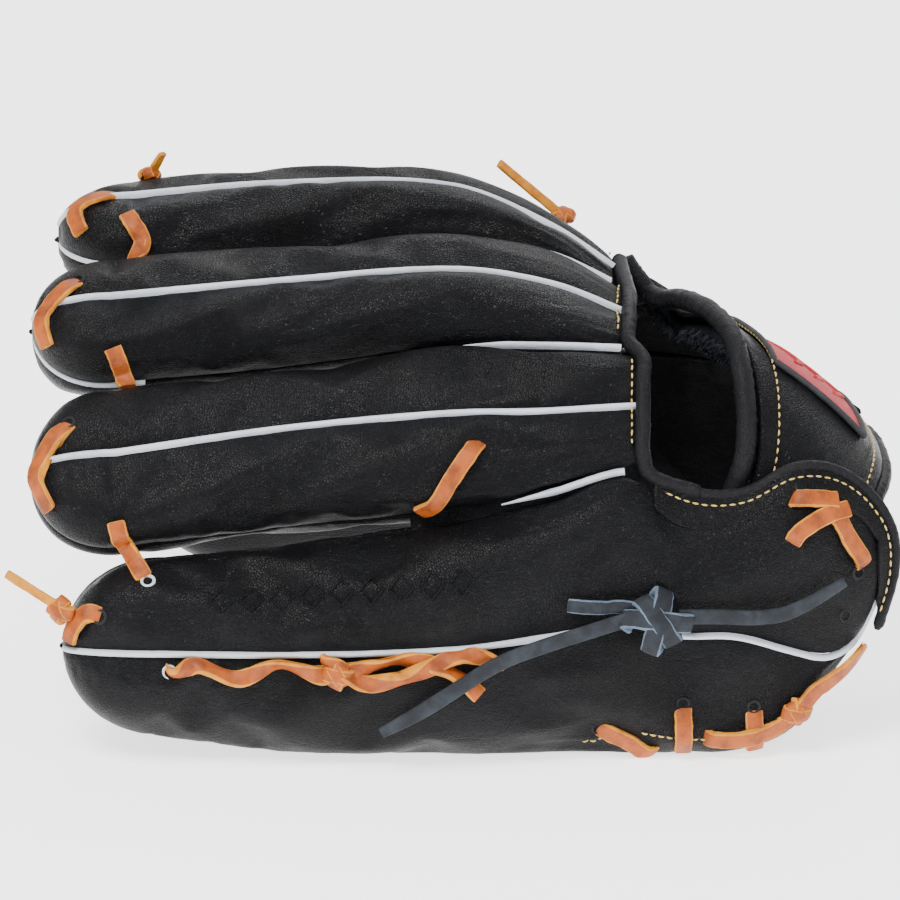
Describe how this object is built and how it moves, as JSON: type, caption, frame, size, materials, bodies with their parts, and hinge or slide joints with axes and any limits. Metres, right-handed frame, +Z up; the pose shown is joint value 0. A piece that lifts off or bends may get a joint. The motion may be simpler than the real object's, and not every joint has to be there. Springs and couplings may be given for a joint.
{
  "type": "baseball fielder's glove",
  "caption": "Open-back fielder's glove for the left hand, lying palm down, with laced fingers, thumb and web and a wrist strap.",
  "frame": {"origin": "centre of the footprint on the surface the glove lies on, without its free lace tails", "axes": "+X from the fingertips to the wrist, +Y from the little finger to the thumb, +Z up out of the glove's back"},
  "size_m": [0.3049, 0.2464, 0.1667],
  "materials": {
    "black_leather": "satin, fine grain",
    "lining_leather": "matte",
    "white_welt": "matte, cut edge",
    "tan_lace": "satin rawhide with suede edges",
    "black_lace": "matte rawhide with fuzzy edges",
    "binding": "satin, rolled",
    "felt": "matte wool felt",
    "fleece": "deep pile",
    "red_patch": "embroidered thread"
  },
  "bodies": {
    "hand": {"pinky_back_outer": "black_leather", "pinky_back_inner": "black_leather", "pinky_welt": "white_welt", "pinky_palm_face": "black_leather", "pinky_felt": "felt", "pinky_lining": "lining_leather", "ring_back_outer": "black_leather", "ring_back_inner": "black_leather", "ring_welt": "white_welt", "ring_palm_face": "black_leather", "ring_felt": "felt", "ring_lining": "lining_leather", "middle_back_outer": "black_leather", "middle_back_inner": "black_leather", "middle_welt": "white_welt", "middle_palm_face": "black_leather", "middle_felt": "felt", "middle_lining": "lining_leather", "index_back_outer": "black_leather", "index_back_inner": "black_leather", "index_welt": "white_welt", "index_palm_face": "black_leather", "index_felt": "felt", "index_lining": "lining_leather", "fingertip_laces": "tan_lace", "thumb_heel_wall": "black_leather", "thumb_saddle": "black_leather", "palm_leather": "black_leather", "palm_felt": "felt", "palm_lining": "lining_leather", "wrist_strap": "black_leather", "strap_fleece": "fleece", "strap_patch": "red_patch", "strap_hand_binding": "binding", "strap_wrist_binding": "binding", "hand_opening_binding": "binding", "flap_binding": "binding", "ring_pinky_welt": "white_welt", "middle_ring_welt": "white_welt", "index_middle_welt": "white_welt", "finger_ties": "tan_lace", "ring_lace": "tan_lace", "pinky_loop_lace": "tan_lace", "heel_lace": "tan_lace", "flap_lace": "tan_lace", "wrist_knot": "black_lace", "wrist_lace_front": "black_lace", "wrist_lace_rear": "black_lace"},
    "thumb": {"thumb_back_inner": "black_leather", "thumb_back_outer": "black_leather", "thumb_welt": "white_welt", "thumb_palm_face": "black_leather", "thumb_felt": "felt", "thumb_lining": "lining_leather", "thumb_loop_lace": "tan_lace"},
    "web": {"web_index_post": "black_leather", "web_crossbar": "black_leather", "web_thumb_post": "black_leather", "web_index_lace": "tan_lace", "web_thumb_lace": "tan_lace"}
  },
  "joints": [
    {"name": "thumb_fold", "type": "hinge", "parent": "hand", "child": "thumb", "pos_m": [0.05064, 0.07534, 0.0415], "axis": [0, 0, 1], "range_deg": [-3, 24]},
    {"name": "web_fold", "type": "hinge", "parent": "hand", "child": "web", "pos_m": [-0.10536, 0.07634, 0.1395], "axis": [0.9924, -0.1168, 0.0389], "range_deg": [-38, 5]}
  ],
  "couplings": [
    {"joint": "web_fold", "follows": "thumb_fold", "ratio": -1.5}
  ]
}
